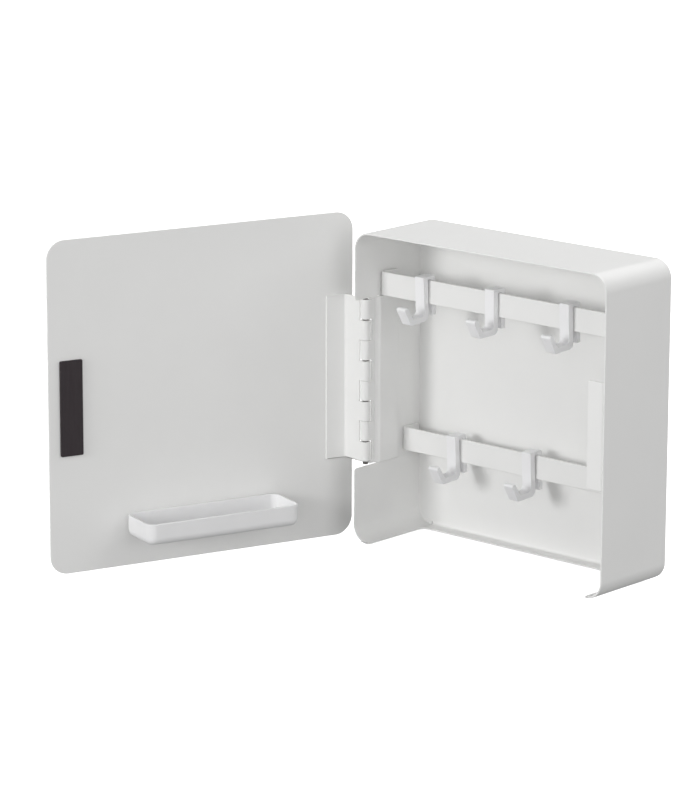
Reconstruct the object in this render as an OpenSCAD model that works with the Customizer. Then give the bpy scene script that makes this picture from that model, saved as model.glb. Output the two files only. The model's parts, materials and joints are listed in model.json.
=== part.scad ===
// Wall key cabinet of bent steel sheet: a shallow case with rounded corners and an open
// bottom, two flat rails with sliding hooks, and a door on a piano hinge.
// Origin: centre of the rear mounting plane. +Z is up and the cabinet faces -Y.
// The door is drawn standing open by rest_angle.

/* [Case] */
// Outside width and height of the square case
case_size = 200; // [180:1:240]
// Depth of the case, front edge to back face
case_d = 63; // [58:0.5:90]
// Sheet thickness of the case and the door
sheet_t = 1.2; // [0.8:0.1:1.6]
// Outside radius of the four bent corners
corner_r = 11.5; // [8:0.5:16]
// How far each side sheet turns in under the case
lip_w = 13; // [12:0.5:20]
// Depth of the back panel's bottom flange
flange_d = 10.6; // [8:0.2:16]

/* [Door] */
// Door width
door_w = 211.8; // [190:0.1:250]
// Door height
door_h = 209.7; // [190:0.1:250]
// Corner radius of the door
door_r = 12; // [6:0.5:16]
// Door overhang past the hinged side of the case
door_side = 2.7; // [0:0.1:2.9]
// Door overhang below the case
door_drop = 1.9; // [0:0.1:3]
// Angle from closed at which the door is drawn
rest_angle = 109; // [0:1:180]

/* [Hinge] */
// Length of one knuckle with its share of the gaps
knuckle_pitch = 13.1; // [10:0.1:16]
// Outside radius of the barrel
barrel_r = 3.25; // [3:0.05:4]
// Radius of the hinge pin
pin_r = 1.8; // [1.2:0.05:1.9]
// Sheet thickness of both leaves
leaf_t = 1.4; // [1:0.1:1.4]
// Distance of the pin axis outside the case wall
pin_out = 3; // [2.8:0.1:3.4]
// Distance of the pin axis behind the case front
pin_back = 14.7; // [13:0.1:16]

/* [Rails] */
// Height of the flat rails
rail_h = 15; // [10:0.5:20]
// Thickness of the flat rails
rail_t = 2; // [1.5:0.1:2.2]
// Upper rail's front face behind the case front
upper_rail_y = 22.6; // [20:0.1:26]
// Lower rail's front face behind the case front
lower_rail_y = 44.4; // [38:0.1:46]
// Height of the upper rail's top edge above the case centre
upper_rail_z = 71.2; // [60:0.1:76]
// Height of the lower rail's top edge above the case centre
lower_rail_z = -33; // [-50:0.1:-10]

/* [Hooks] */
// Width of a hook along the rail
hook_w = 7.4; // [5:0.1:10]
// Thickness of the leg in front of the rail
front_leg_t = 4.3; // [3:0.1:5]
// Thickness of the leg behind the rail
back_leg_t = 3.6; // [2.5:0.1:4]
// Reach of the hook tip in front of the front leg
hook_reach = 17.9; // [12:0.1:18.2]
// Positions of the three upper hooks along the rail
upper_hook_x = [-61.2, -5, 54]; // [-90:0.1:90]
// Positions of the two lower hooks along the rail
lower_hook_x = [-52.9, 8.4]; // [-90:0.1:90]
// How far the hooks lean back on the rail, upper row
upper_hook_tilt = [3, 1, 2.5]; // [0:0.1:3.2]
// How far the hooks lean back on the rail, lower row
lower_hook_tilt = [3, 3]; // [0:0.1:3.2]

/* [Tray] */
// Tray length along the door
tray_w = 106; // [60:0.2:120]
// Tray depth off the door
tray_d = 33; // [20:0.2:36]
// Tray height
tray_h = 13.8; // [10:0.2:18]
// Tray wall thickness
tray_t = 1.5; // [1.2:0.1:2.5]
// Tray plan corner radius
tray_r = 6; // [5:0.2:9]
// Radius along the tray's bottom edges
tray_bottom_r = 5; // [3:0.2:6]

/* [Magnets] */
// Length of the door magnet
door_magnet_h = 60; // [30:1:64]
// Width of the door magnet
door_magnet_w = 15; // [10:0.5:16]
// Thickness of the door magnet
door_magnet_t = 1.5; // [1:0.1:2]
// Thickness of the rear magnet sheets
wall_magnet_t = 1.5; // [0.8:0.1:3]
// Width of each rear magnet sheet
wall_magnet_w = 170; // [100:1:176]
// Height of each rear magnet sheet
wall_magnet_h = 45; // [20:1:55]

/* [Hidden] */
$fn = 64;
eps = 0.01;
cut = 1;

case_half = case_size / 2;
foot_bend_r = 2.5;
flange_fillet = 4;
case_back = -wall_magnet_t;
case_front = case_back - case_d;
wall_in = case_half - sheet_t;

// The closed door stands off the case by its magnet and a small gap
magnet_gap = 0.2;
door_gap = door_magnet_t + magnet_gap;
door_in = case_front - door_gap;
door_left = -case_half - door_side;
door_bottom = -case_half - door_drop;
door_mid_z = door_bottom + door_h / 2;

// Hinge: eight knuckles, counted from the top; odd ones on the case, even ones on the door
knuckles = 8;
hinge_len = knuckles * knuckle_pitch;
hinge_raise = 1.8;
hinge_bottom = hinge_raise - hinge_len / 2;
pin_x = -case_half - pin_out;
pin_y = case_front + pin_back;
bore_clear = 0.05;
bore_r = pin_r + bore_clear;
knuckle_play = 0.4;
knuckle_len = knuckle_pitch - knuckle_play;
door_leaf_over = 1;
case_knuckle_lift = 0.2;
door_knuckle_lift = -0.1;
notch = 0.4;
pin_below = 2.2;
curl_r = barrel_r - leaf_t / 2;

// Door leaf, measured from the pin axis with the door closed
flange_x = 20;
leg_bend_x = 6;
flange_y = door_in + leaf_t / 2 - pin_y;
leg_turn = acos(curl_r / norm([leg_bend_x, flange_y]));
leg_angle = atan2(flange_y, leg_bend_x) + leg_turn;

// Case leaf, measured from the pin axis
joggle_start = 5.1;
joggle_end = 8.2;
leaf_end = 24.8;
leaf_wall_x = pin_out + sheet_t + leaf_t / 2;

// Opening in the side wall that the hinge passes through
slot_behind = 0.3;
slot_below = 1.8;
slot_above = 1.4;
slot_depth = pin_back + joggle_end + slot_behind;
slot_bottom = hinge_bottom - slot_below;
slot_top = hinge_bottom + hinge_len + slot_above;
slot_clear = 0.15;
slot_corner_r = 2;

rail_bend_r = 3;
rail_tab = 12;

catch_w = 11.6;
catch_leg = 15;
catch_bottom = -32;
catch_top = 35;
catch_r = 1.5;
catch_bend = 0.8;

hook_clear = 0.3;
hook_lift = 0.15;
hook_play = 1.2;
hook_slot = rail_t + hook_play;
bridge_t = 2.4;
back_leg_below = 8;
back_leg_end = rail_h + back_leg_below;
back_round = 1.6;
floor_top = 21.8;
floor_bottom = 25.7;
tip_top = 13.7;
tip_t = 3.2;
tip_lean = 4.5;
throat = 6.4;
hook_round = 4;
toe_r = 2;
tip_r = 1.4;
throat_r = 2.6;
foot_r = 0.6;
lean_angle = 27;
arc_steps = 6;

tray_x = -47.6;
tray_z = -82;
tray_gap = 0.8;
tape_t = 0.8;
tape_inset = 4;
tape_margin = 0.8;
tape_h = tray_h - tray_bottom_r - 2 * tape_margin;

magnet_x = 94;
magnet_r = 0.8;
wall_magnet_step = 60;
wall_magnet_r = 3;

white = [0.93, 0.93, 0.92];
plastic = [0.95, 0.96, 0.97];
steel = [0.35, 0.33, 0.32];
magnet_brown = [0.2, 0.17, 0.17];

// Rounded rectangle from its lower left corner
module round_rect(w, h, r) {
    translate([r, 0]) square([w - 2 * r, h]);
    translate([0, r]) square([w, h - 2 * r]);
    for (x = [r, w - r], y = [r, h - r]) translate([x, y]) circle(r);
}

// Flat bar from p to q with round ends, as wide as the sheet is thick
module bar(p, q, t) {
    run = norm(q - p);
    translate(p) rotate(atan2(q[1] - p[1], q[0] - p[0])) translate([0, -t / 2]) square([run, t]);
    translate(q) circle(t / 2);
}

// Shape drawn in the X-Z plane and extruded from y0 towards +Y
module slab_y(y0, depth) {
    translate([0, y0 + depth, 0]) rotate([90, 0, 0]) linear_extrude(depth) children();
}

// Puts a piece of the closed door where the open door has it
module swing() {
    translate([pin_x, pin_y, 0]) rotate(-rest_angle) translate([-pin_x, -pin_y, 0]) children();
}

module case_outline(inset) {
    translate([inset - case_half, inset - case_half])
        round_rect(case_size - 2 * inset, case_size - 2 * inset, corner_r - inset);
}

module case_shell() {
    open_w = case_size - 2 * lip_w;
    color(white) difference() {
        slab_y(case_front, case_d) difference() {
            case_outline(0);
            case_outline(sheet_t);
            translate([-open_w / 2, -case_half - cut]) square([open_w, sheet_t + 2 * cut]);
        }
        hinge_opening();
    }
}

// Opening for the hinge; the sheet's two corners at the case front are rounded off
module hinge_opening() {
    r = slot_corner_r;
    translate([-case_half - cut, case_front, 0]) rotate([90, 0, 90]) linear_extrude(sheet_t + 2 * cut) {
        translate([-cut, slot_bottom]) square([slot_depth + cut, slot_top - slot_bottom]);
        translate([-cut, slot_bottom - r]) difference() {
            square([r + cut, r + eps]);
            translate([r + cut, 0]) circle(r);
        }
        translate([-cut, slot_top - eps]) difference() {
            square([r + cut, r + eps]);
            translate([r + cut, r + eps]) circle(r);
        }
    }
}

module back_panel() {
    r = foot_bend_r;
    foot = case_half - lip_w;
    color(white) union() {
        slab_y(case_back - sheet_t, sheet_t) difference() {
            case_outline(sheet_t);
            translate([-foot, -case_half]) square([2 * foot, sheet_t + r]);
        }
        translate([-foot, case_back, -case_half]) rotate([90, 0, 90]) linear_extrude(2 * foot) {
            translate([-sheet_t, sheet_t + r - eps]) square([sheet_t, r]);
            translate([-flange_d, 0]) square([flange_d - sheet_t - r + eps, sheet_t]);
            translate([-sheet_t - r, sheet_t + r]) intersection() {
                difference() {
                    circle(sheet_t + r);
                    circle(r);
                }
                translate([0, -r - sheet_t]) square(r + sheet_t);
            }
        }
        // fillets where the flange meets the lips of the case
        for (s = [-1, 1]) translate([s * foot, case_back - flange_d, -case_half])
            linear_extrude(sheet_t) difference() {
                f = flange_fillet;
                translate([-s * f / 2, 0]) square([f, 2 * f], center = true);
                translate([-s * f, -f]) circle(f);
            }
    }
}

// Flat rail: front face at depth y, top edge at height z, ends bent back onto the walls
module rail(y, z) {
    front = case_front + y;
    r = rail_bend_r;
    color(white) translate([0, 0, z - rail_h]) linear_extrude(rail_h) {
        translate([-wall_in + r, front]) square([2 * (wall_in - r), rail_t]);
        for (s = [0, 1]) mirror([s, 0]) {
            translate([-wall_in, front + r]) square([rail_t, rail_tab]);
            translate([-wall_in + r, front + r]) intersection() {
                difference() {
                    circle(r);
                    circle(r - rail_t);
                }
                translate([-r, -r]) square(r);
            }
        }
    }
}

module upper_rail() {
    rail(upper_rail_y, upper_rail_z);
}

module lower_rail() {
    rail(lower_rail_y, lower_rail_z);
}

// Angle on the right wall that the door magnet grips
module catch_plate() {
    r = catch_r;
    height = catch_top - catch_bottom;
    color(white) {
        slab_y(case_front, sheet_t) difference() {
            translate([wall_in - catch_w, catch_bottom]) round_rect(catch_w, height, r);
            translate([wall_in - catch_bend, catch_bottom - cut]) square([catch_w, height + 2 * cut]);
        }
        translate([wall_in - catch_bend, case_front, catch_bottom]) cube([catch_bend, sheet_t, height]);
        translate([wall_in - sheet_t, case_front + sheet_t, catch_bottom])
            cube([sheet_t, catch_leg - sheet_t, height]);
    }
}

// True height band of knuckle k, counted from the top
function knuckle_z(k) = hinge_bottom + hinge_len - k * knuckle_pitch;

// Knuckle barrels with a short tab of the leaf profile that reaches them
module knuckle_set(first, lift) {
    for (k = [first : 2 : knuckles]) translate([0, 0, knuckle_z(k) + lift]) {
        linear_extrude(knuckle_len) difference() {
            union() {
                circle(barrel_r);
                intersection() {
                    children();
                    circle(barrel_r + 2 * notch);
                }
            }
            circle(bore_r);
        }
    }
}

module case_leaf_profile() {
    start = [curl_r, 0];
    step = [curl_r, joggle_start];
    wall = [leaf_wall_x, joggle_end];
    bar(start, step, leaf_t);
    bar(step, wall, leaf_t);
    translate([leaf_wall_x - leaf_t / 2, joggle_end]) square([leaf_t, leaf_end - joggle_end]);
}

module case_hinge_leaf() {
    height = slot_top - slot_bottom - 2 * slot_clear;
    color(white) translate([pin_x, pin_y, 0]) {
        translate([0, 0, slot_bottom + slot_clear]) linear_extrude(height) difference() {
            case_leaf_profile();
            circle(barrel_r + notch);
        }
        knuckle_set(1, case_knuckle_lift) case_leaf_profile();
    }
}

module door_leaf_profile() {
    start = curl_r * [cos(leg_angle), sin(leg_angle)];
    bend = [leg_bend_x, flange_y];
    bar(start, bend, leaf_t);
    translate([leg_bend_x, flange_y - leaf_t / 2]) square([flange_x - leg_bend_x, leaf_t]);
}

module door_hinge_leaf() {
    color(white) swing() translate([pin_x, pin_y, 0]) {
        translate([0, 0, hinge_bottom]) linear_extrude(hinge_len + door_leaf_over) difference() {
            door_leaf_profile();
            circle(barrel_r + notch);
        }
        knuckle_set(2, door_knuckle_lift) door_leaf_profile();
    }
}

module hinge_pin() {
    color(steel) translate([pin_x, pin_y, hinge_bottom - pin_below])
        cylinder(h = hinge_len + pin_below, r = pin_r);
}

module wall_magnet(z) {
    color(magnet_brown) slab_y(-wall_magnet_t, wall_magnet_t)
        translate([-wall_magnet_w / 2, z - wall_magnet_h / 2])
            round_rect(wall_magnet_w, wall_magnet_h, wall_magnet_r);
}

module wall_magnet_upper() {
    wall_magnet(wall_magnet_step);
}

module wall_magnet_middle() {
    wall_magnet(0);
}

module wall_magnet_lower() {
    wall_magnet(-wall_magnet_step);
}

module door_panel() {
    color(white) swing() slab_y(door_in - sheet_t, sheet_t)
        translate([door_left, door_bottom]) round_rect(door_w, door_h, door_r);
}

module door_magnet() {
    color(magnet_brown) swing() slab_y(door_in, door_magnet_t)
        translate([magnet_x - door_magnet_w / 2, door_mid_z - door_magnet_h / 2])
            round_rect(door_magnet_w, door_magnet_h, magnet_r);
}

// Box with round plan corners and a round bottom edge, from its lower left corner
module tub(w, d, h, r, rb) {
    for (x = [r, w - r], y = [r, d - r]) translate([x, y, 0]) rotate_extrude() {
        translate([0, rb]) square([r, h - rb]);
        square([r - rb, rb + eps]);
        translate([r - rb, rb]) intersection() {
            circle(rb);
            translate([-eps, -rb]) square([rb + eps, rb + eps]);
        }
    }
    translate([r, 0, 0]) rotate([90, 0, 90]) linear_extrude(w - 2 * r) tub_section(d, h, rb);
    translate([0, d - r, 0]) rotate([90, 0, 0]) linear_extrude(d - 2 * r) tub_section(w, h, rb);
}

module tub_section(w, h, rb) {
    translate([0, rb]) square([w, h - rb]);
    translate([rb, 0]) square([w - 2 * rb, rb + eps]);
    for (x = [rb, w - rb]) translate([x, rb]) circle(rb);
}

module tray() {
    t = tray_t;
    color(plastic) swing() translate([tray_x, door_in + tray_gap, tray_z]) difference() {
        tub(tray_w, tray_d, tray_h, tray_r, tray_bottom_r);
        translate([t, t, t]) tub(tray_w - 2 * t, tray_d - 2 * t, tray_h, tray_r - t, tray_bottom_r - t);
    }
}

module tray_tape() {
    inset = tray_r + tape_inset;
    color("gray") swing() translate([tray_x + inset, door_in, tray_z + tray_bottom_r + tape_margin])
        cube([tray_w - 2 * inset, tape_t, tape_h]);
}

// Points on an arc about a centre, from angle a0 to angle a1
function arc(centre, r, a0, a1) = [
    for (i = [0 : arc_steps])
        let (a = a0 + (a1 - a0) * i / arc_steps) centre + r * [cos(a), sin(a)]
];

// Side profile of a hook: x is the distance behind the front leg's face, y is the height
// above the top edge of the rail
module hook_profile() {
    back = front_leg_t + hook_slot + back_leg_t;
    heel = hook_round;
    toe = [toe_r + tip_lean - hook_reach, toe_r - floor_bottom];
    tip = [tip_r - hook_reach, -tip_top - tip_r];
    floor_y = -floor_top + throat_r;
    polygon(concat(
        arc([front_leg_t - heel, heel - floor_bottom], heel, -90, 0),
        [[front_leg_t, 0], [front_leg_t + hook_slot, 0], [front_leg_t + hook_slot, -back_leg_end]],
        [[back - foot_r, -back_leg_end], [back, foot_r - back_leg_end]],
        arc([back - back_round, bridge_t - back_round], back_round, 0, 90),
        arc([foot_r, bridge_t - foot_r], foot_r, 90, 180),
        arc([-throat_r, floor_y], throat_r, 0, -90),
        arc([throat + throat_r - hook_reach, floor_y], throat_r, -90, -180 + lean_angle),
        arc([tip_t - tip_r / 2 - hook_reach, -tip_top - tip_r / 2], tip_r / 2, lean_angle, 90),
        arc(tip, tip_r, 90, 180 + lean_angle),
        arc(toe, toe_r, 180 + lean_angle, 270)
    ));
}

// Hook over a rail whose front face is at depth y and whose top edge is at height z; it leans
// about the rail's lower front edge
module hook(x, tilt, y, z) {
    color(plastic) translate([x - hook_w / 2, case_front + y - hook_clear, z - rail_h + hook_lift])
        rotate([tilt, 0, 0]) translate([0, -front_leg_t, rail_h])
            rotate([90, 0, 90]) linear_extrude(hook_w) hook_profile();
}

module hook_upper_left() {
    hook(upper_hook_x[0], upper_hook_tilt[0], upper_rail_y, upper_rail_z);
}

module hook_upper_middle() {
    hook(upper_hook_x[1], upper_hook_tilt[1], upper_rail_y, upper_rail_z);
}

module hook_upper_right() {
    hook(upper_hook_x[2], upper_hook_tilt[2], upper_rail_y, upper_rail_z);
}

module hook_lower_left() {
    hook(lower_hook_x[0], lower_hook_tilt[0], lower_rail_y, lower_rail_z);
}

module hook_lower_right() {
    hook(lower_hook_x[1], lower_hook_tilt[1], lower_rail_y, lower_rail_z);
}

case_shell();
back_panel();
upper_rail();
lower_rail();
catch_plate();
case_hinge_leaf();
hinge_pin();
wall_magnet_upper();
wall_magnet_middle();
wall_magnet_lower();
door_panel();
door_hinge_leaf();
door_magnet();
tray();
tray_tape();
hook_upper_left();
hook_upper_middle();
hook_upper_right();
hook_lower_left();
hook_lower_right();
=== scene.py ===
"""Looks of a wall key cabinet: bent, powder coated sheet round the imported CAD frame.

Meshes are built in millimetres in the row frame (+Z up, the cabinet faces -Y) and stored in
metres. Door pieces are built with the door closed and then swung open about the hinge pin.
"""
import json
import math

import bmesh
import bpy
from mathutils import Matrix, Vector


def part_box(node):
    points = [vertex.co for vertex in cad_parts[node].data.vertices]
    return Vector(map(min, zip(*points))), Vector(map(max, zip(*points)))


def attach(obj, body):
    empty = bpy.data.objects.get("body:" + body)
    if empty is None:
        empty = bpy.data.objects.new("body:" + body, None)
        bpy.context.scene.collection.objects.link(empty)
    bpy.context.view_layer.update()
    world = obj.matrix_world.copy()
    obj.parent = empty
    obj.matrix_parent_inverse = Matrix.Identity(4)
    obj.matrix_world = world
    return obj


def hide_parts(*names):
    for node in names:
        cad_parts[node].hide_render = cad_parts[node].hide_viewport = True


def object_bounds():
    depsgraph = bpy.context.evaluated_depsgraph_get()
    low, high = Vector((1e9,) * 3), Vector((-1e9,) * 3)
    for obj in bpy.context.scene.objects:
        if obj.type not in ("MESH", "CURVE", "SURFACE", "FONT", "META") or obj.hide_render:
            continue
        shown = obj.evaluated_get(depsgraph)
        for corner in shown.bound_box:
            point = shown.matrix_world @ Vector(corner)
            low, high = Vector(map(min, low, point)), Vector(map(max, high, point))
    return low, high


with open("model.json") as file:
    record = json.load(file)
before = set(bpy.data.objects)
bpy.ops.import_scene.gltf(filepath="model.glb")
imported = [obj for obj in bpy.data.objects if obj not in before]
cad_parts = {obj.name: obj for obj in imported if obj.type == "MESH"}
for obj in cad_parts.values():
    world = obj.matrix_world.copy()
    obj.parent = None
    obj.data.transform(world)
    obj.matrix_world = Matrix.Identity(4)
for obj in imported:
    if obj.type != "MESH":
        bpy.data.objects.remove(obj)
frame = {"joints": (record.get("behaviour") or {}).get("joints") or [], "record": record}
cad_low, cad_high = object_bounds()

MM = 0.001
RECORD = frame["record"]
BODY_OF = {node: body for body, nodes in RECORD["behaviour"]["bodies"].items() for node in nodes}
SLOT_OF = {part["node"]: part["material_slot"] for part in RECORD["subparts"]}
HINGE = next(joint for joint in frame["joints"] if joint["name"] == "door_hinge")

# Sheet metal, in millimetres
SHEET = 1.2
LEAF = 1.4
RAIL = 2.0
EDGE = 0.5
CASE_R = 11.5
LIP_W = 13.0
LIP_CORNER_R = 1.5
FLANGE_D = 10.6
FLANGE_FILLET = 4.0
FOOT_R = 1.6
FOOT_RELIEF = 0.8
BACK_OVERLAP = 0.5
BACK_EDGE = 0.3
RAIL_BEND_R = 3.0
RAIL_TAB = 12.0
CATCH_BEND_R = 0.2
CATCH_CORNER_R = 1.5

# Hinge, measured from the pin axis
REST_ANGLE = -HINGE["range_deg"][0]
BARREL_R = 3.25
CURL_R = BARREL_R - LEAF / 2
CURL_SWEEP = 298.0
CURL_STEPS = 22
NOTCH = 0.4
KNUCKLES = 8
KNUCKLE_PLAY = 0.4
CASE_LIFT = 0.2
DOOR_LIFT = -0.1
JOGGLE_START = 5.1
JOGGLE_END = 8.2
LEAF_END = 24.8
LEG_BEND_X = 6.0
FLANGE_X = 20.0
LEAF_BEND_R = 1.8
PIN_BELOW = 2.2
PIN_CHAMFER = 0.4
PIN_SIDES = 24
SLOT_CLEAR = 0.15
SLOT_BEHIND = 0.3
SLOT_CORNER_R = 2.0

# Door, measured closed
DOOR_W = 211.8
DOOR_H = 209.7
DOOR_R = 12.0
DOOR_SIDE = 2.7
DOOR_DROP = 1.9
DOOR_GAP = 1.7
MAGNET_X = 94.0
MAGNET_W = 15.0
MAGNET_H = 60.0
MAGNET_T = 1.5
MAGNET_R = 0.8
MAGNET_EDGE = 0.2
TRAY_X = -47.6
TRAY_Z = -82.0
TRAY_SIZE = (106.0, 33.0, 13.8)
TRAY_R = 6.0
TRAY_BOTTOM_R = 5.0
TRAY_T = 1.5
TRAY_RIM = 0.6
TAPE_T = 0.8
TAPE_INSET = 7.0
TAPE_MARGIN = 0.1
TAPE_R = 0.3
TAPE_EDGE = 0.1


def low_high(node):
    """Lowest and highest corner of a CAD node, in millimetres."""
    low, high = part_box(node)
    return low / MM, high / MM


CASE_LOW, CASE_HIGH = low_high("case_shell")
HALF = CASE_HIGH.x
FRONT = CASE_LOW.y
BACK = CASE_HIGH.y
PIN_X, PIN_Y = (value / MM for value in HINGE["pos_m"][:2])
HINGE_LOW, HINGE_HIGH = (corner.z for corner in low_high("hinge_pin"))
HINGE_LOW += PIN_BELOW
DOOR_IN = FRONT - DOOR_GAP
SWING = (
    Matrix.Translation((PIN_X, PIN_Y, 0))
    @ Matrix.Rotation(math.radians(-REST_ANGLE), 4, "Z")
    @ Matrix.Translation((-PIN_X, -PIN_Y, 0))
)


# ---------------------------------------------------------------- camera, stage and light

CAMERA_YAW = 41.94
CAMERA_PITCH = 13.6
CAMERA_ROLL = 0.18
CAMERA_LENS = 179.3
CAMERA_DISTANCE = 2456.15
CAMERA_SIDE = -96.68
CAMERA_RISE = 2.95
CAMERA_TARGET = Vector((0, -34.5, 0))

# Lamps and floor, in metres
LIGHT_REACH = 3.0
WORLD_STRENGTH = 0.257
FLOOR_DROP = 0.5 * MM
FLOOR_FLAT = 5.0
FLOOR_SWEEP = 3.0
FLOOR_HEIGHT = 9.0
FLOOR_TURNS = 64
FLOOR_WHITE = 0.9
FLOOR_GLOW = 0.9


def make_camera():
    """The photograph's view: in front of the cabinet, to the right and a little above."""
    yaw, pitch, roll = (math.radians(a) for a in (CAMERA_YAW, CAMERA_PITCH, CAMERA_ROLL))
    ahead = Vector((-math.sin(yaw) * math.cos(pitch), math.cos(yaw) * math.cos(pitch), -math.sin(pitch)))
    level = Vector((math.cos(yaw), math.sin(yaw), 0))
    above = level.cross(ahead)
    right = level * math.cos(roll) + above * math.sin(roll)
    up = above * math.cos(roll) - level * math.sin(roll)
    place = CAMERA_TARGET - ahead * CAMERA_DISTANCE + right * CAMERA_SIDE + up * CAMERA_RISE
    camera = bpy.data.objects.new("camera", bpy.data.cameras.new("camera"))
    camera.matrix_world = Matrix.Translation(place * MM) @ Matrix((right, up, -ahead)).transposed().to_4x4()
    camera.data.lens = CAMERA_LENS
    camera.data.sensor_width = 36
    camera.data.clip_start = 0.1
    camera.data.clip_end = 50
    bpy.context.scene.collection.objects.link(camera)
    bpy.context.scene.camera = camera


def make_lamp(name, azimuth, elevation, width, power):
    """Round soft light aimed at the cabinet.

    Angles are in degrees: azimuth 0 is in front and 90 to the right, width is the lamp as seen
    from the cabinet. Power is in watts.
    """
    turn, rise = math.radians(azimuth), math.radians(elevation)
    away = Vector((math.sin(turn) * math.cos(rise), -math.cos(turn) * math.cos(rise), math.sin(rise)))
    light = bpy.data.lights.new(name, "AREA")
    light.shape = "DISK"
    light.size = 2 * LIGHT_REACH * math.tan(math.radians(width / 2))
    light.energy = power
    lamp = bpy.data.objects.new(name, light)
    lamp.location = away * LIGHT_REACH
    lamp.rotation_mode = "QUATERNION"
    lamp.rotation_quaternion = (-away).to_track_quat("-Z", "Y")
    lamp.visible_camera = False
    bpy.context.scene.collection.objects.link(lamp)


def make_world():
    """Even white light from all round."""
    world = bpy.data.worlds.new("studio")
    world.use_nodes = True
    background = world.node_tree.nodes["Background"]
    background.inputs["Color"].default_value = (1, 1, 1, 1)
    background.inputs["Strength"].default_value = WORLD_STRENGTH
    bpy.context.scene.world = world


def floor_mesh(level):
    """Flat disc that sweeps up into a wall all round."""
    profile = [(FLOOR_FLAT + a, level + b) for a, b in arc((0, FLOOR_SWEEP), FLOOR_SWEEP, -90, 0, 12)]
    profile.append((FLOOR_FLAT + FLOOR_SWEEP, level + FLOOR_HEIGHT))
    points = [(0, 0, level)]
    for i in range(FLOOR_TURNS):
        turn = 2 * math.pi * i / FLOOR_TURNS
        points += [(r * math.cos(turn), r * math.sin(turn), z) for r, z in profile]
    count = len(profile)
    faces = []
    for i in range(FLOOR_TURNS):
        here, there = 1 + i * count, 1 + (i + 1) % FLOOR_TURNS * count
        faces.append((0, here, there))
        faces += [(here + j, here + j + 1, there + j + 1, there + j) for j in range(count - 1)]
    mesh = bpy.data.meshes.new("floor")
    mesh.from_pydata(points, [], faces)
    return mesh


def floor_paint():
    """Matt white with a glow of its own, so that the floor meets the camera as plain white."""
    material = bpy.data.materials.new("floor")
    material.use_nodes = True
    shader = material.node_tree.nodes["Principled BSDF"]
    shader.inputs["Base Color"].default_value = (FLOOR_WHITE, FLOOR_WHITE, FLOOR_WHITE, 1)
    shader.inputs["Roughness"].default_value = 0.9
    shader.inputs["Emission Color"].default_value = (1, 1, 1, 1)
    shader.inputs["Emission Strength"].default_value = FLOOR_GLOW
    return material


def make_floor(level):
    """Plain white floor under the cabinet, which only the camera sees."""
    mesh = floor_mesh(level)
    floor = bpy.data.objects.new("floor", mesh)
    bpy.context.scene.collection.objects.link(floor)
    floor.visible_diffuse = False
    floor.visible_glossy = False
    floor.visible_shadow = False
    mesh.materials.append(floor_paint())


def make_studio():
    """Camera, even light, floor and the soft lamps round the cabinet."""
    make_camera()
    make_world()
    make_floor(cad_low.z - FLOOR_DROP)
    make_lamp("key", azimuth=-13, elevation=12, width=16, power=30.4)
    make_lamp("centre", azimuth=0, elevation=12, width=14, power=4.5)
    make_lamp("front", azimuth=30, elevation=10, width=30, power=11.5)
    make_lamp("right", azimuth=70, elevation=5, width=40, power=18.6)
    make_lamp("side", azimuth=110, elevation=35, width=40, power=14.2)
    make_lamp("left", azimuth=-60, elevation=30, width=50, power=15)
    make_lamp("back", azimuth=180, elevation=45, width=50, power=57)
    make_lamp("top", azimuth=0, elevation=88, width=50, power=4.3)
    bpy.context.scene.view_settings.view_transform = "Standard"


# ---------------------------------------------------------------- materials


NOISE_LOW = 0.3
NOISE_HIGH = 0.7


def new_material(name):
    """A plain node material with its shader, and object coordinates in metres."""
    material = bpy.data.materials.new(name)
    material.use_nodes = True
    nodes = material.node_tree.nodes
    shader = nodes["Principled BSDF"]
    place = nodes.new("ShaderNodeTexCoord").outputs["Object"]
    return material, shader, place


def add_noise(material, place, scale, detail=3.0, stretch=None):
    """Noise with scale features to the metre; stretch squeezes the coordinates first."""
    tree = material.node_tree
    if stretch:
        mapping = tree.nodes.new("ShaderNodeMapping")
        mapping.inputs["Scale"].default_value = stretch
        tree.links.new(place, mapping.inputs["Vector"])
        place = mapping.outputs["Vector"]
    noise = tree.nodes.new("ShaderNodeTexNoise")
    noise.inputs["Scale"].default_value = scale
    noise.inputs["Detail"].default_value = detail
    tree.links.new(place, noise.inputs["Vector"])
    return noise.outputs["Fac"]


def add_range(material, value, low, high, socket):
    """Feeds a shader socket with value spread between low and high."""
    tree = material.node_tree
    spread = tree.nodes.new("ShaderNodeMapRange")
    spread.inputs["From Min"].default_value = NOISE_LOW
    spread.inputs["From Max"].default_value = NOISE_HIGH
    spread.inputs["To Min"].default_value = low
    spread.inputs["To Max"].default_value = high
    tree.links.new(value, spread.inputs["Value"])
    tree.links.new(spread.outputs["Result"], socket)


def add_tint(material, value, dark, light, socket):
    """Feeds a colour socket with a ramp from dark to light."""
    tree = material.node_tree
    ramp = tree.nodes.new("ShaderNodeValToRGB")
    ramp.color_ramp.elements[0].position = NOISE_LOW
    ramp.color_ramp.elements[1].position = NOISE_HIGH
    ramp.color_ramp.elements[0].color = (*dark, 1)
    ramp.color_ramp.elements[1].color = (*light, 1)
    tree.links.new(value, ramp.inputs["Fac"])
    tree.links.new(ramp.outputs["Color"], socket)


def add_bump(material, value, depth, strength, shader):
    """Adds a bump of the given depth in metres to those the shader already has."""
    tree = material.node_tree
    bump = tree.nodes.new("ShaderNodeBump")
    bump.inputs["Strength"].default_value = strength
    bump.inputs["Distance"].default_value = depth
    tree.links.new(value, bump.inputs["Height"])
    earlier = shader.inputs["Normal"].links
    if earlier:
        tree.links.new(earlier[0].from_socket, bump.inputs["Normal"])
    tree.links.new(bump.outputs["Normal"], shader.inputs["Normal"])


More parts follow.
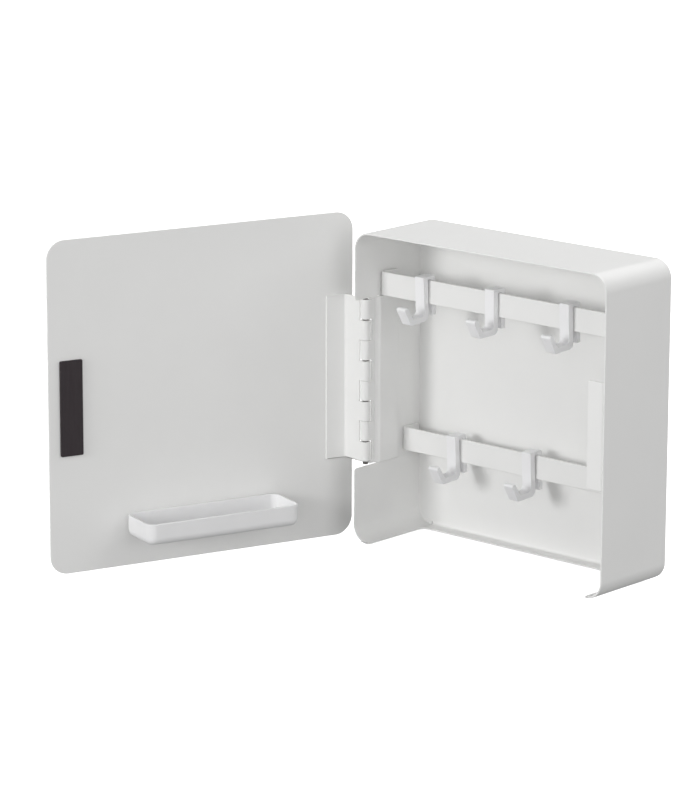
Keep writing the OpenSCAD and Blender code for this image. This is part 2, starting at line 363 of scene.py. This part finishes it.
def powder_coat():
    """White powder coat: satin, with a fine grain and a faint orange peel."""
    material, shader, place = new_material("powder_coat")
    add_tint(material, add_noise(material, place, 18), (0.862, 0.862, 0.852), (0.878, 0.878, 0.868),
             shader.inputs["Base Color"])
    add_range(material, add_noise(material, place, 900), 0.46, 0.60, shader.inputs["Roughness"])
    add_bump(material, add_noise(material, place, 700), 0.00006, 0.5, shader)
    add_bump(material, add_noise(material, place, 2200), 0.00002, 0.5, shader)
    shader.inputs["Specular IOR Level"].default_value = 0.4
    return material


def moulded_plastic(name, dark, light, roughness):
    """Cool white moulded plastic with a fine spark-eroded grain."""
    material, shader, place = new_material(name)
    add_tint(material, add_noise(material, place, 60), dark, light, shader.inputs["Base Color"])
    add_range(material, add_noise(material, place, 1500), roughness - 0.05, roughness + 0.07,
              shader.inputs["Roughness"])
    add_bump(material, add_noise(material, place, 1800), 0.00002, 0.5, shader)
    shader.inputs["Specular IOR Level"].default_value = 0.45
    return material


def magnet_sheet():
    """Dark brown flexible magnet: a satin skin with fine powder speckle."""
    material, shader, place = new_material("magnet_sheet")
    speckle = add_noise(material, place, 2600, 4.0)
    add_tint(material, speckle, (0.017, 0.010, 0.013), (0.030, 0.020, 0.025), shader.inputs["Base Color"])
    streak = add_noise(material, place, 500, 3.0, (1, 1, 0.08))
    add_range(material, streak, 0.42, 0.62, shader.inputs["Roughness"])
    add_bump(material, streak, 0.00004, 0.4, shader)
    return material


def pin_steel():
    """Dark drawn steel, brushed along the pin."""
    material, shader, place = new_material("pin_steel")
    streak = add_noise(material, place, 3000, 3.0, (1, 1, 0.02))
    add_tint(material, streak, (0.14, 0.13, 0.125), (0.24, 0.23, 0.22), shader.inputs["Base Color"])
    shader.inputs["Metallic"].default_value = 1.0
    add_range(material, streak, 0.3, 0.48, shader.inputs["Roughness"])
    add_bump(material, streak, 0.00001, 0.5, shader)
    return material


def foam_tape():
    """Closed-cell foam of double-sided tape, in pale grey."""
    material, shader, place = new_material("foam_tape")
    cells = add_noise(material, place, 2500, 4.0)
    add_tint(material, cells, (0.72, 0.72, 0.71), (0.80, 0.80, 0.79), shader.inputs["Base Color"])
    add_range(material, cells, 0.8, 0.95, shader.inputs["Roughness"])
    add_bump(material, cells, 0.0001, 0.6, shader)
    return material


def make_materials():
    """The record's material slots, each as a node material."""
    return {
        "powder_coat": powder_coat(),
        "pin_steel": pin_steel(),
        "magnet_sheet": magnet_sheet(),
        "foam_tape": foam_tape(),
        "tray_plastic": moulded_plastic("tray_plastic", (0.875, 0.875, 0.88), (0.895, 0.895, 0.90), 0.38),
        "hook_plastic": moulded_plastic("hook_plastic", (0.89, 0.89, 0.90), (0.91, 0.91, 0.92), 0.32),
    }


# ---------------------------------------------------------------- outlines, in millimetres


def quarter_turn(steps):
    """Angles from 0 to 90 degrees in equal steps, in radians."""
    return [math.radians(90 * i / steps) for i in range(steps + 1)]


def arc(centre, radius, start, end, steps=8):
    """Points on an arc, with angles in degrees."""
    turns = [math.radians(start + (end - start) * i / steps) for i in range(steps + 1)]
    return [(centre[0] + radius * math.cos(t), centre[1] + radius * math.sin(t)) for t in turns]


def round_rect(width, height, radius, steps=8):
    """Anticlockwise rounded rectangle from its lower left corner."""
    right, top = width - radius, height - radius
    return (
        arc((radius, radius), radius, 180, 270, steps)
        + arc((right, radius), radius, 270, 360, steps)
        + arc((right, top), radius, 0, 90, steps)
        + arc((radius, top), radius, 90, 180, steps)
    )


def bent(corners, radius, steps=5):
    """Path through corners with each inner corner rounded."""
    path = [tuple(corners[0])]
    for before, here, after in zip(corners, corners[1:], corners[2:]):
        here = Vector(here)
        back = (Vector(before) - here).normalized()
        on = (Vector(after) - here).normalized()
        half = back.angle(on) / 2
        centre = here + (back + on).normalized() * (radius / math.sin(half))
        start = here + back * (radius / math.tan(half)) - centre
        end = here + on * (radius / math.tan(half)) - centre
        first = math.degrees(math.atan2(start.y, start.x))
        turn = (math.degrees(math.atan2(end.y, end.x)) - first + 180) % 360 - 180
        path += arc(centre, radius, first, first + turn, steps)
    return path + [tuple(corners[-1])]


def inset(outline, distance):
    """A closed anticlockwise outline moved inwards."""
    moved = []
    for i, point in enumerate(outline):
        here = Vector(point)
        before = (here - Vector(outline[i - 1])).normalized()
        after = (Vector(outline[(i + 1) % len(outline)]) - here).normalized()
        normal = Vector((-before.y - after.y, before.x + after.x))
        moved.append(here + normal * (distance / max(0.2, 1 + before.dot(after))))
    return moved


# ---------------------------------------------------------------- meshes


def new_object(name, mesh):
    """Links a mesh drawn in millimetres as a smooth shaded object in metres."""
    mesh.transform(Matrix.Scale(MM, 4))
    for polygon in mesh.polygons:
        polygon.use_smooth = True
    piece = bpy.data.objects.new(name, mesh)
    bpy.context.scene.collection.objects.link(piece)
    return piece


def even_normals(piece):
    """Keeps large faces flat next to their rounded edges."""
    modifier = piece.modifiers.new("even_normals", "WEIGHTED_NORMAL")
    modifier.mode = "FACE_AREA"
    modifier.weight = 100
    modifier.keep_sharp = True


def face_outwards(mesh):
    """Turns all of a closed shell's faces outwards."""
    work = bmesh.new()
    work.from_mesh(mesh)
    bmesh.ops.recalc_face_normals(work, faces=work.faces)
    work.to_mesh(mesh)
    work.free()


def loft(name, rings):
    """Closed shell through rings with equal numbers of points, capped at both ends."""
    count = len(rings[0])
    points = [point for ring in rings for point in ring]
    faces = [list(range(count))[::-1], [len(points) - count + i for i in range(count)]]
    for row in range(len(rings) - 1):
        for i in range(count):
            a, b = row * count + i, row * count + (i + 1) % count
            faces.append([a, b, b + count, a + count])
    mesh = bpy.data.meshes.new(name)
    mesh.from_pydata([tuple(point) for point in points], [], faces)
    face_outwards(mesh)
    piece = new_object(name, mesh)
    even_normals(piece)
    return piece


def rounded_prism(name, outline, low, high, edge, place):
    """Prism between two levels with its edges rounded; place puts (a, b, level) in space."""
    turns = quarter_turn(4)
    start = [(edge * (1 - math.sin(t)), low + edge * (1 - math.cos(t))) for t in turns]
    end = [(edge * (1 - math.cos(t)), high - edge * (1 - math.sin(t))) for t in turns]
    rings = [[place(p[0], p[1], level) for p in inset(outline, gap)] for gap, level in start + end]
    return loft(name, rings)


def sheet_metal(name, path, levels, place, thickness, keep=None, corners=()):
    """Bent sheet: a path swept through levels, cells left out where keep says no.

    corners is a list of (path index, level index, radius) that round the sheet's own corners.
    """
    work = bmesh.new()
    grid = {}

    def corner(i, j):
        if (i, j) not in grid:
            grid[i, j] = work.verts.new(place(path[i][0], path[i][1], levels[j]))
        return grid[i, j]

    for i in range(len(path) - 1):
        for j in range(len(levels) - 1):
            if keep is None or keep(i, j):
                work.faces.new([corner(i, j), corner(i + 1, j), corner(i + 1, j + 1), corner(i, j + 1)])
    for i, j, radius in corners:
        bmesh.ops.bevel(work, geom=[grid[i, j]], offset=radius, offset_type="OFFSET", segments=6,
                        profile=0.5, affect="VERTICES")
    return sheet_piece(name, work, thickness)


def sheet_piece(name, work, thickness, edge=EDGE):
    """Gives a mid-surface its thickness and rounds the cut edges."""
    bmesh.ops.recalc_face_normals(work, faces=work.faces)
    mesh = bpy.data.meshes.new(name)
    work.to_mesh(mesh)
    work.free()
    piece = new_object(name, mesh)
    solid = piece.modifiers.new("thickness", "SOLIDIFY")
    solid.thickness = thickness * MM
    solid.offset = 0
    solid.use_even_offset = True
    bevel = piece.modifiers.new("edges", "BEVEL")
    bevel.width = edge * MM
    bevel.segments = 3
    bevel.limit_method = "ANGLE"
    bevel.angle_limit = math.radians(50)
    bevel.use_clamp_overlap = False
    even_normals(piece)
    return piece


def put(piece, node, swung=False):
    """Finishes a piece: swings it with the open door, paints it and ties it to its CAD node."""
    if swung:
        metres = Matrix.Translation(SWING.translation * MM) @ SWING.to_3x3().to_4x4()
        piece.data.transform(metres)
    piece.data.materials.append(MATERIALS[SLOT_OF[node]])
    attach(piece, BODY_OF[node])
    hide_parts(node)


# ---------------------------------------------------------------- case


def make_case_shell():
    """Wrap of sheet with four bent corners, open at the bottom between its lips."""
    out = HALF - SHEET / 2
    r = CASE_R - SHEET / 2
    in_out = out - r
    foot = HALF - LIP_W
    leaf_low, leaf_high = low_high("case_hinge_leaf")
    slot_low, slot_high = leaf_low.z - SLOT_CLEAR, leaf_high.z + SLOT_CLEAR
    path = (
        [(-foot, -out)]
        + arc((-in_out, -in_out), r, 270, 180)
        + [(-out, slot_low), (-out, slot_high)]
        + arc((-in_out, in_out), r, 180, 90)
        + arc((in_out, in_out), r, 90, 0)
        + arc((in_out, -in_out), r, 0, -90)
        + [(foot, -out)]
    )
    low = path.index((-out, slot_low))
    slot_back = PIN_Y + JOGGLE_END + SLOT_BEHIND
    end = len(path) - 1
    piece = sheet_metal(
        "case_shell_sheet", path, [FRONT, slot_back, BACK], lambda a, b, level: (a, level, b), SHEET,
        keep=lambda i, j: not (i == low and j == 0),
        corners=[
            (low, 0, SLOT_CORNER_R),
            (low + 1, 0, SLOT_CORNER_R),
            (0, 0, LIP_CORNER_R),
            (end, 0, LIP_CORNER_R),
        ],
    )
    put(piece, "case_shell")


def make_back_panel():
    """Back sheet that fills the shell and bends forward into the bottom flange."""
    plane = BACK - SHEET / 2
    foot = HALF - LIP_W
    bend_r = FOOT_R + SHEET / 2
    bend_z = -HALF + SHEET / 2 + bend_r
    fillet = [foot - FLANGE_FILLET + FLANGE_FILLET * math.sin(t) for t in quarter_turn(6)]
    columns = [-x for x in reversed(fillet)] + fillet
    work = bmesh.new()
    fill_back(work, back_rows(bend_z), plane, columns, bend_z)
    add_foot(work, columns, plane, bend_z, bend_r)
    bmesh.ops.remove_doubles(work, verts=work.verts, dist=0.01)
    put(sheet_piece("back_panel_sheet", work, SHEET, BACK_EDGE), "back_panel")


def back_rows(bend_z):
    """Rows of the flat back sheet from the bottom up, as (height, half width)."""
    wide = HALF - SHEET + BACK_OVERLAP
    r = CASE_R - SHEET + BACK_OVERLAP
    heights = [wide - r + r * math.sin(t) for t in quarter_turn(10)]
    heights = sorted({-z for z in heights} | {bend_z} | set(heights))

    def half_width(z):
        over = max(0.0, abs(z) - (wide - r))
        return wide - r + math.sqrt(max(0.0, r * r - over * over))

    return [(z, half_width(z)) for z in heights]


def fill_back(work, rows, plane, columns, bend_z):
    """Faces of the flat back sheet; below the bend only the parts beside the foot."""
    slit = columns[-1] + FOOT_RELIEF
    middle = [-slit] + columns + [slit]
    for (z0, w0), (z1, w1) in zip(rows, rows[1:]):
        spans = [((-w0, -slit), (-w1, -slit)), ((slit, w0), (slit, w1))]
        if z0 >= bend_z:
            spans += [(pair, pair) for pair in zip(middle, middle[1:])]
        for (a0, b0), (a1, b1) in spans:
            corners = ((a0, plane, z0), (b0, plane, z0), (b1, plane, z1), (a1, plane, z1))
            work.faces.new([work.verts.new(corner) for corner in corners])


def add_foot(work, columns, plane, bend_z, bend_r):
    """Bend at the foot and the flange, with a fillet where it meets each lip."""
    profile = arc((plane - bend_r, bend_z), bend_r, 0, -90, 6)
    straight = columns[-1] - FLANGE_FILLET
    front = BACK - FLANGE_D

    def edge(x):
        over = max(0.0, abs(x) - straight)
        return front - FLANGE_FILLET + math.sqrt(max(0.0, FLANGE_FILLET ** 2 - over ** 2))

    rows = [[(x, y, z) for x in columns] for y, z in profile]
    rows.append([(x, edge(x), profile[-1][1]) for x in columns])
    for near, far in zip(rows, rows[1:]):
        for i in range(len(columns) - 1):
            work.faces.new([work.verts.new(p) for p in (near[i], near[i + 1], far[i + 1], far[i])])


def make_rail(node):
    """Flat bar with its ends bent back onto the side walls."""
    low, high = low_high(node)
    r = RAIL_BEND_R - RAIL / 2
    side = high.x - RAIL / 2
    front = low.y + RAIL / 2
    end = front + r + RAIL_TAB
    path = (
        [(-side, end)]
        + arc((-side + r, front + r), r, 180, 270, 6)
        + arc((side - r, front + r), r, 270, 360, 6)
        + [(side, end)]
    )
    piece = sheet_metal(node + "_bar", path, [low.z, high.z], lambda a, b, level: (a, b, level), RAIL)
    put(piece, node)


def make_catch_plate():
    """Angle spot-welded to the right wall, its front flange flush with the case front."""
    low, high = low_high("catch_plate")
    r = SHEET / 2 + CATCH_BEND_R
    side = high.x - SHEET / 2
    front = low.y + SHEET / 2
    path = [(low.x, front)] + arc((side - r, front + r), r, 270, 360, 4) + [(side, high.y)]
    piece = sheet_metal(
        "catch_plate_angle", path, [low.z, high.z], lambda a, b, level: (a, b, level), SHEET,
        corners=[(0, 0, CATCH_CORNER_R), (0, 1, CATCH_CORNER_R)],
    )
    put(piece, "catch_plate")


# ---------------------------------------------------------------- hinge


def knuckle_bands(first, lift):
    """Height bands of the knuckles that start with number first, counted from the top."""
    pitch = (HINGE_HIGH - HINGE_LOW) / KNUCKLES
    lows = [HINGE_HIGH - k * pitch + lift for k in range(first, KNUCKLES + 1, 2)]
    return [(low, low + pitch - KNUCKLE_PLAY) for low in lows]


def make_leaf(name, node, sheet_path, curl_path, first, lift, swung):
    """Hinge leaf: bent sheet whose knuckles are rolled round the pin.

    The neck runs to the curl at the knuckles and past the barrel's ends, and stops short between.
    """
    bands = knuckle_bands(first, lift)
    low, high = low_high(node)
    levels = {z for band in bands for z in band} | {HINGE_LOW, HINGE_HIGH}
    levels = sorted({low.z, high.z} | {z for z in levels if low.z < z < high.z})
    path = sheet_path + curl_path
    neck = len(sheet_path) - 1

    def keep(i, j):
        middle = (levels[j] + levels[j + 1]) / 2
        beyond = not HINGE_LOW < middle < HINGE_HIGH
        return i < neck or i == neck and beyond or any(b < middle < t for b, t in bands)

    piece = sheet_metal(
        name, path, levels, lambda a, b, level: (PIN_X + a, PIN_Y + b, level), LEAF, keep=keep,
    )
    put(piece, node, swung)


def neck_reach():
    """Distance along the sheet from the curl's start to the notch between knuckles."""
    return math.sqrt((BARREL_R + NOTCH) ** 2 - CURL_R ** 2)


def make_case_leaf():
    """Leaf on the left wall: it steps outwards through the slot to the barrel."""
    wall_x = -HALF + SHEET + LEAF / 2 - PIN_X
    corners = [(wall_x, LEAF_END), (wall_x, JOGGLE_END), (CURL_R, JOGGLE_START), (CURL_R, neck_reach())]
    sheet_path = bent(corners, LEAF_BEND_R)
    curl = arc((0, 0), CURL_R, 0, -CURL_SWEEP, CURL_STEPS)
    make_leaf("case_leaf_rolled", "case_hinge_leaf", sheet_path, curl, 1, CASE_LIFT, False)


def make_door_leaf():
    """Leaf on the door: a flange on the sheet and a leg that runs tangent to the barrel."""
    flange_y = DOOR_IN + LEAF / 2 - PIN_Y
    span = math.hypot(LEG_BEND_X, flange_y)
    angle = math.degrees(math.atan2(flange_y, LEG_BEND_X) + math.acos(CURL_R / span))
    start = arc((0, 0), CURL_R, angle, angle + CURL_SWEEP, CURL_STEPS)
    along = (Vector((LEG_BEND_X, flange_y)) - Vector(start[0])).normalized()
    neck = Vector(start[0]) + along * neck_reach()
    sheet_path = bent([(FLANGE_X, flange_y), (LEG_BEND_X, flange_y), tuple(neck)], LEAF_BEND_R)
    make_leaf("door_leaf_rolled", "door_hinge_leaf", sheet_path, start, 2, DOOR_LIFT, True)


def make_pin():
    """Hinge pin with chamfered ends; the lower one shows under the barrel."""
    low, high = low_high("hinge_pin")
    r = (high.x - low.x) / 2
    tip_r = r - PIN_CHAMFER
    levels = [(tip_r, low.z), (r, low.z + PIN_CHAMFER), (r, high.z - PIN_CHAMFER), (tip_r, high.z)]
    last = 360 - 360 / PIN_SIDES
    rings = []
    for ring_r, z in levels:
        ring = arc((0, 0), ring_r, 0, last, PIN_SIDES - 1)
        rings.append([(PIN_X + x, PIN_Y + y, z) for x, y in ring])
    put(loft("hinge_pin_rod", rings), "hinge_pin")


# ---------------------------------------------------------------- door


def make_door_panel():
    """Flat door sheet with rounded corners."""
    outline = round_rect(DOOR_W, DOOR_H, DOOR_R, 14)
    left, bottom = -HALF - DOOR_SIDE, -HALF - DOOR_DROP
    piece = rounded_prism("door_panel_sheet", outline, DOOR_IN - SHEET, DOOR_IN, EDGE,
                          lambda a, b, level: (left + a, level, bottom + b))
    put(piece, "door_panel", True)


def make_door_magnet():
    """Magnet strip inside the door's free edge, at mid height."""
    outline = round_rect(MAGNET_W, MAGNET_H, MAGNET_R, 4)
    left = MAGNET_X - MAGNET_W / 2
    bottom = -HALF - DOOR_DROP + (DOOR_H - MAGNET_H) / 2
    piece = rounded_prism("door_magnet_strip", outline, DOOR_IN, DOOR_IN + MAGNET_T, MAGNET_EDGE,
                          lambda a, b, level: (left + a, level, bottom + b))
    put(piece, "door_magnet", True)


def tray_rings():
    """Rings from under the floor, over the rim and down inside, as (inset, height)."""
    height = TRAY_SIZE[2]
    inner_r = TRAY_BOTTOM_R - TRAY_T
    outside = arc((TRAY_BOTTOM_R, TRAY_BOTTOM_R), TRAY_BOTTOM_R, 270, 180, 10)
    rim = arc((TRAY_RIM, height - TRAY_RIM), TRAY_RIM, 180, 90, 4)
    rim += arc((TRAY_T - TRAY_RIM, height - TRAY_RIM), TRAY_RIM, 90, 0, 4)
    inside = arc((TRAY_BOTTOM_R, TRAY_BOTTOM_R), inner_r, 180, 270, 8)
    return outside + rim + inside


def make_tray():
    """Moulded tray with soft corners and a rounded rim, fixed inside the door."""
    width, depth, _ = TRAY_SIZE
    y0 = DOOR_IN + TAPE_T
    rings = []
    for gap, level in tray_rings():
        outline = round_rect(width - 2 * gap, depth - 2 * gap, TRAY_R - gap, 8)
        rings.append([(TRAY_X + gap + a, y0 + gap + b, TRAY_Z + level) for a, b in outline])
    put(loft("tray_moulding", rings), "tray", True)


def make_tape():
    """Foam tape between the tray and the door."""
    width, _, height = TRAY_SIZE
    low_z = TRAY_Z + TRAY_BOTTOM_R + TAPE_MARGIN
    outline = round_rect(width - 2 * TAPE_INSET, height - TRAY_BOTTOM_R - 2 * TAPE_MARGIN, TAPE_R, 3)
    piece = rounded_prism("tray_tape_strip", outline, DOOR_IN, DOOR_IN + TAPE_T, TAPE_EDGE,
                          lambda a, b, level: (TRAY_X + TAPE_INSET + a, level, low_z + b))
    put(piece, "tray_tape", True)


# ---------------------------------------------------------------- hooks and rear magnets

FRONT_LEG = 4.3
BACK_LEG = 3.6
HOOK_SLOT = 3.2
HOOK_REACH = 17.9
HOOK_CLEAR = 0.3
HOOK_LIFT = 0.15
BACK_LEG_END = 23.0
BRIDGE = 2.4
FLOOR_TOP = 21.8
FLOOR_BOTTOM = 25.7
TIP_TOP = 13.7
TIP_T = 3.2
TIP_LEAN = 4.5
LEAN_ANGLE = 27
HEEL_R = 4.0
TOE_R = 2.0
TIP_R = 1.4
THROAT_R = 2.6
THROAT = 6.4
BACK_ROUND = 1.6
SMALL_R = 0.6
HOOK_EDGE = 0.5
WALL_MAGNET_R = 3.0
WALL_MAGNET_EDGE = 0.3
HOOK_TILT = {
    "hook_upper_left": 3.0,
    "hook_upper_middle": 1.0,
    "hook_upper_right": 2.5,
    "hook_lower_left": 3.0,
    "hook_lower_right": 3.0,
}


def hook_outline():
    """Side of a hook: a is behind the front leg's face, b above the rail's top edge."""
    back = FRONT_LEG + HOOK_SLOT + BACK_LEG
    floor_b = THROAT_R - FLOOR_TOP
    return (
        arc((FRONT_LEG - HEEL_R, HEEL_R - FLOOR_BOTTOM), HEEL_R, -90, 0, 8)
        + arc((FRONT_LEG + SMALL_R, -SMALL_R), SMALL_R, 180, 90, 3)
        + arc((FRONT_LEG + HOOK_SLOT - SMALL_R, -SMALL_R), SMALL_R, 90, 0, 3)
        + arc((back - BACK_LEG + SMALL_R, SMALL_R - BACK_LEG_END), SMALL_R, 180, 270, 3)
        + arc((back - SMALL_R, SMALL_R - BACK_LEG_END), SMALL_R, 270, 360, 3)
        + arc((back - BACK_ROUND, BRIDGE - BACK_ROUND), BACK_ROUND, 0, 90, 6)
        + arc((SMALL_R, BRIDGE - SMALL_R), SMALL_R, 90, 180, 4)
        + arc((-THROAT_R, floor_b), THROAT_R, 0, -90, 6)
        + arc((THROAT + THROAT_R - HOOK_REACH, floor_b), THROAT_R, -90, LEAN_ANGLE - 180, 5)
        + arc((TIP_T - TIP_R / 2 - HOOK_REACH, -TIP_TOP - TIP_R / 2), TIP_R / 2, LEAN_ANGLE, 90, 4)
        + arc((TIP_R - HOOK_REACH, -TIP_TOP - TIP_R), TIP_R, 90, 180 + LEAN_ANGLE, 6)
        + arc((TOE_R + TIP_LEAN - HOOK_REACH, TOE_R - FLOOR_BOTTOM), TOE_R, 180 + LEAN_ANGLE, 270, 5)
    )


def make_hook(node):
    """Moulded hook over a rail, leaning about the rail's lower front edge."""
    low, high = low_high(node)
    rail_low, rail_high = low_high(node.split("_")[1] + "_rail")
    tilt = math.radians(HOOK_TILT[node])

    def place(a, b, level):
        behind, above = a - FRONT_LEG, b + rail_high.z - rail_low.z
        y = behind * math.cos(tilt) - above * math.sin(tilt)
        z = behind * math.sin(tilt) + above * math.cos(tilt)
        return (level, rail_low.y - HOOK_CLEAR + y, rail_low.z + HOOK_LIFT + z)

    put(rounded_prism(node + "_moulding", hook_outline(), low.x, high.x, HOOK_EDGE, place), node)


def make_wall_magnet(node):
    """Flexible magnet sheet on the back."""
    low, high = low_high(node)
    outline = round_rect(high.x - low.x, high.z - low.z, WALL_MAGNET_R, 6)
    piece = rounded_prism(node + "_sheet", outline, low.y, high.y, WALL_MAGNET_EDGE,
                          lambda a, b, level: (low.x + a, level, low.z + b))
    put(piece, node)


make_studio()
MATERIALS = make_materials()
make_case_shell()
make_back_panel()
make_rail("upper_rail")
make_rail("lower_rail")
make_catch_plate()
make_case_leaf()
make_door_leaf()
make_pin()
make_door_panel()
make_door_magnet()
make_tray()
make_tape()
for hook_node in sorted(node for node in BODY_OF if node.startswith("hook_")):
    make_hook(hook_node)
for magnet_node in sorted(node for node in BODY_OF if node.startswith("wall_magnet_")):
    make_wall_magnet(magnet_node)
